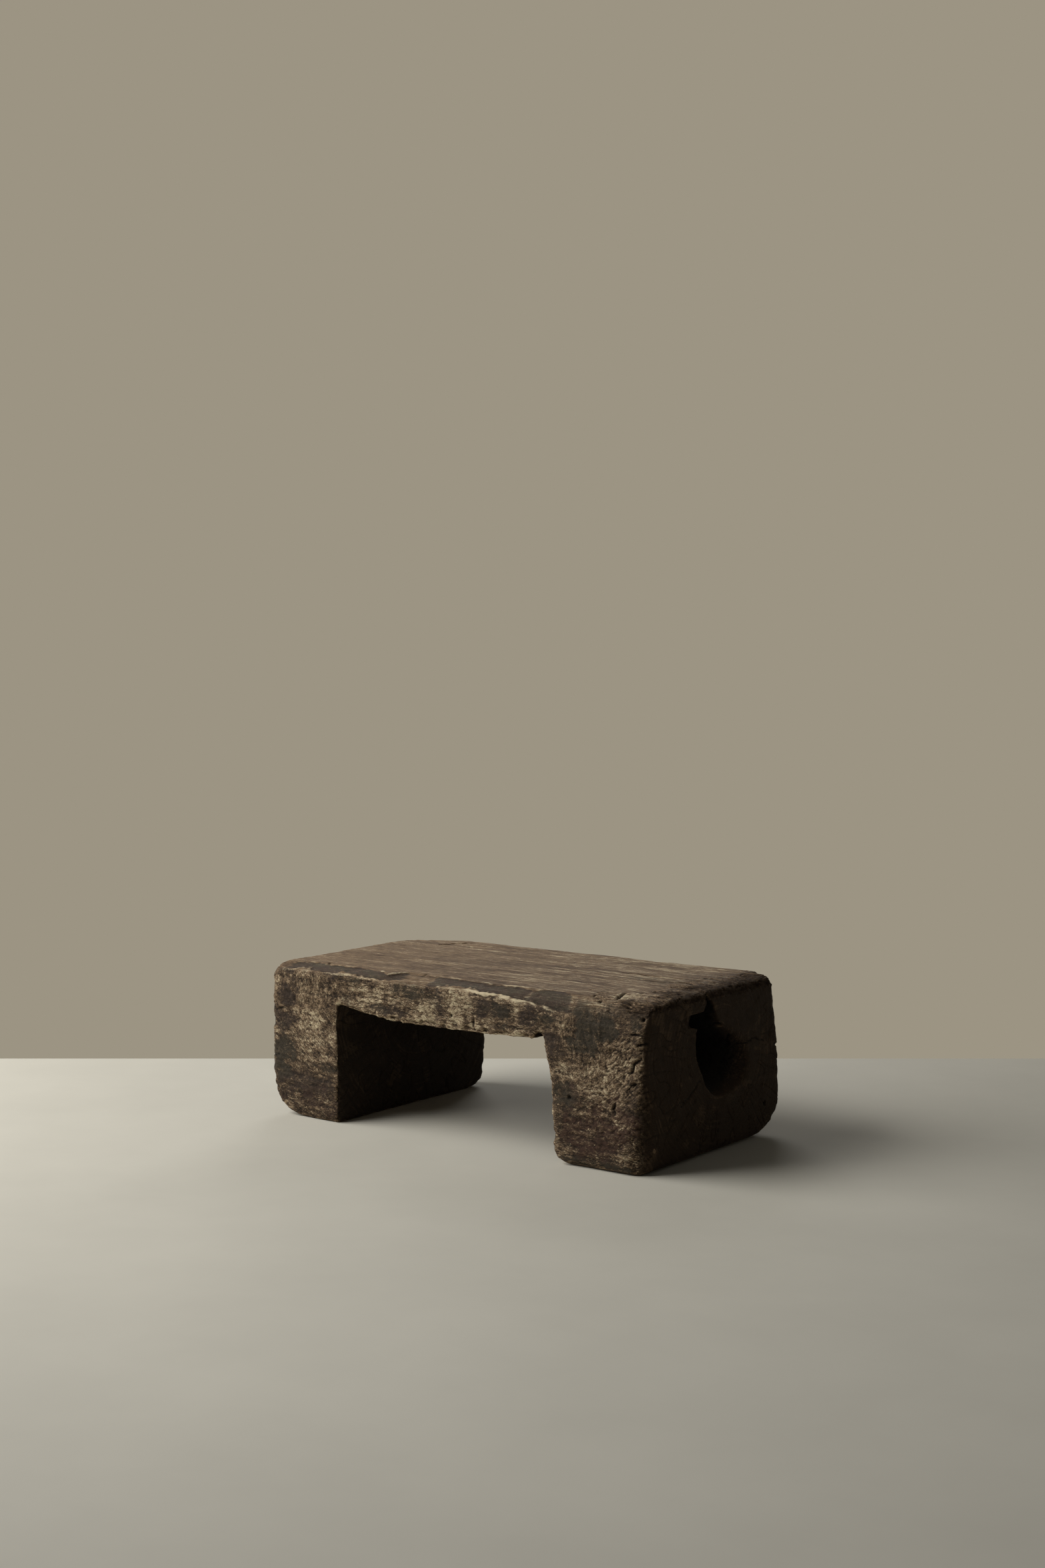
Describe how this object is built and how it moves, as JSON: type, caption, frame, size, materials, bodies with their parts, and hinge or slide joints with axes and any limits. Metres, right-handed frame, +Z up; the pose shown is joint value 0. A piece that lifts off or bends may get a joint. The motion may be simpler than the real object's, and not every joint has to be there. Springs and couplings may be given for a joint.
{
  "type": "low stool",
  "caption": "Low stool hewn from one log: a thick worn seat slab between two broad block legs, with a dark hollow in the heart of the right end.",
  "frame": {"origin": "on the floor, under the middle of the stool's bounding box", "axes": "+Z up, +X along the grain of the log towards the end with the hollow, -Y towards the front of the picture"},
  "size_m": [0.7436, 0.3997, 0.25],
  "materials": {
    "hewn_leg_wood": "dry, checked, weathered hardwood with a dark grey-brown patina and pale scuffed fibres",
    "worn_seat_wood": "hardwood worn smooth and slightly polished by sitting, tan with darker streaks along the grain"
  },
  "bodies": {
    "root": {"left_leg": "hewn_leg_wood", "seat": "worn_seat_wood", "right_leg": "hewn_leg_wood"}
  },
  "joints": []
}
